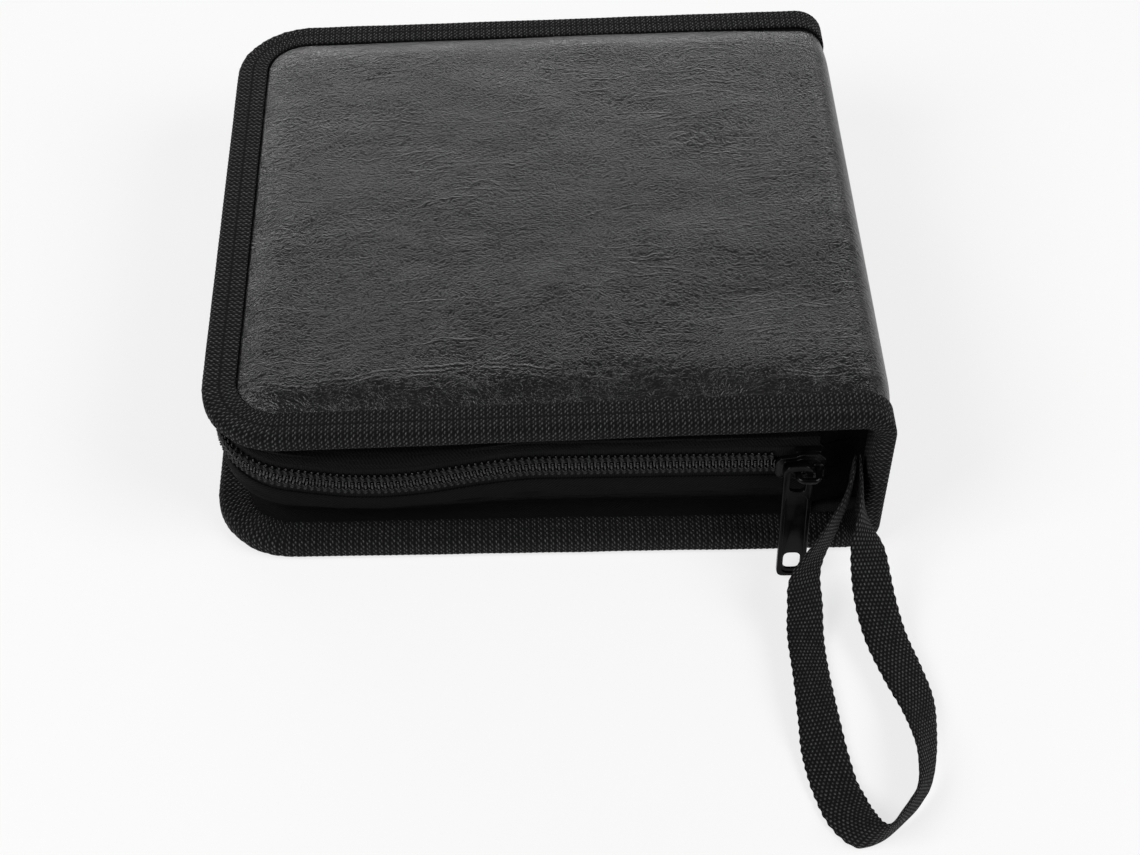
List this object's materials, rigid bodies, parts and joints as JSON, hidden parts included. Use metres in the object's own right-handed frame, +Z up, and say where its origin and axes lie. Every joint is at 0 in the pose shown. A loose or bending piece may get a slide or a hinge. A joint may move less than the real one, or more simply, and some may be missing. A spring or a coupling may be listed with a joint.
{
  "type": "cd storage case",
  "caption": "Padded leather-look disc wallet with a zip round three sides, sleeve pages inside and a webbing wrist loop",
  "frame": {"origin": "the middle of the back cover's outer face, which is the face that it lies on", "axes": "+X from the opening edge to the spine, +Y from the zip slider's side to the far side, +Z up through the thickness"},
  "size_m": [0.1647, 0.2346, 0.0475],
  "materials": {
    "leather": "charcoal imitation leather, fine pebbled grain with soft creases",
    "board": "stiff fibre board inside the padded covers",
    "lining": "thin dark woven lining",
    "binding": "near-black ribbed woven binding tape",
    "gusset": "near-black twill gusset cloth",
    "zip_tape": "finely woven black zip tape",
    "zip_coil": "glossy black nylon coil",
    "metal": "satin black enamelled die-cast zip slider and tab",
    "sleeve": "pale non-woven disc sleeve",
    "webbing": "narrow black woven webbing"
  },
  "bodies": {
    "base": {"base_leather": "leather", "base_board": "board", "base_lining": "lining", "base_binding": "binding", "base_gusset": "gusset", "lower_zip_tape": "zip_tape", "lower_zip_coil": "zip_coil", "page_strip": "lining", "sleeve_01": "sleeve", "sleeve_02": "sleeve", "sleeve_03": "sleeve", "sleeve_04": "sleeve", "sleeve_05": "sleeve", "sleeve_06": "sleeve", "sleeve_07": "sleeve", "sleeve_08": "sleeve", "sleeve_09": "sleeve", "sleeve_10": "sleeve", "sleeve_11": "sleeve", "sleeve_12": "sleeve", "sleeve_13": "sleeve", "sleeve_14": "sleeve", "sleeve_15": "sleeve", "sleeve_16": "sleeve", "sleeve_17": "sleeve", "sleeve_18": "sleeve", "sleeve_19": "sleeve", "sleeve_20": "sleeve"},
    "spine": {"spine_leather": "leather", "spine_board": "board", "spine_lining": "lining", "spine_binding_front": "binding", "spine_binding_rear": "binding", "gusset_end_front": "gusset", "gusset_end_rear": "gusset", "wrist_strap": "webbing"},
    "lid": {"lid_leather": "leather", "lid_board": "board", "lid_lining": "lining", "lid_binding": "binding", "lid_gusset": "gusset", "upper_zip_tape": "zip_tape", "upper_zip_coil": "zip_coil"},
    "slider": {"slider_body": "metal"},
    "pull_tab": {"pull_tab": "metal"}
  },
  "joints": [
    {"name": "spine_fold", "type": "hinge", "parent": "base", "child": "spine", "pos_m": [0.07666, 0, 0.00234], "axis": [0, 1, 0], "range_deg": [0, 90]},
    {"name": "lid_fold", "type": "hinge", "parent": "spine", "child": "lid", "pos_m": [0.07656, 0, 0.04475], "axis": [0, 1, 0], "range_deg": [0, 91.9]},
    {"name": "slider_travel", "type": "slide", "parent": "base", "child": "slider", "axis": [-1, 0, 0], "range_m": [0, 0.054], "deforming": ["lower_zip_coil", "upper_zip_coil"]},
    {"name": "pull_tab_swing", "type": "hinge", "parent": "slider", "child": "pull_tab", "pos_m": [0.0572, -0.0771, 0.0293], "axis": [0, 1, 0], "range_deg": [0, 90]}
  ]
}
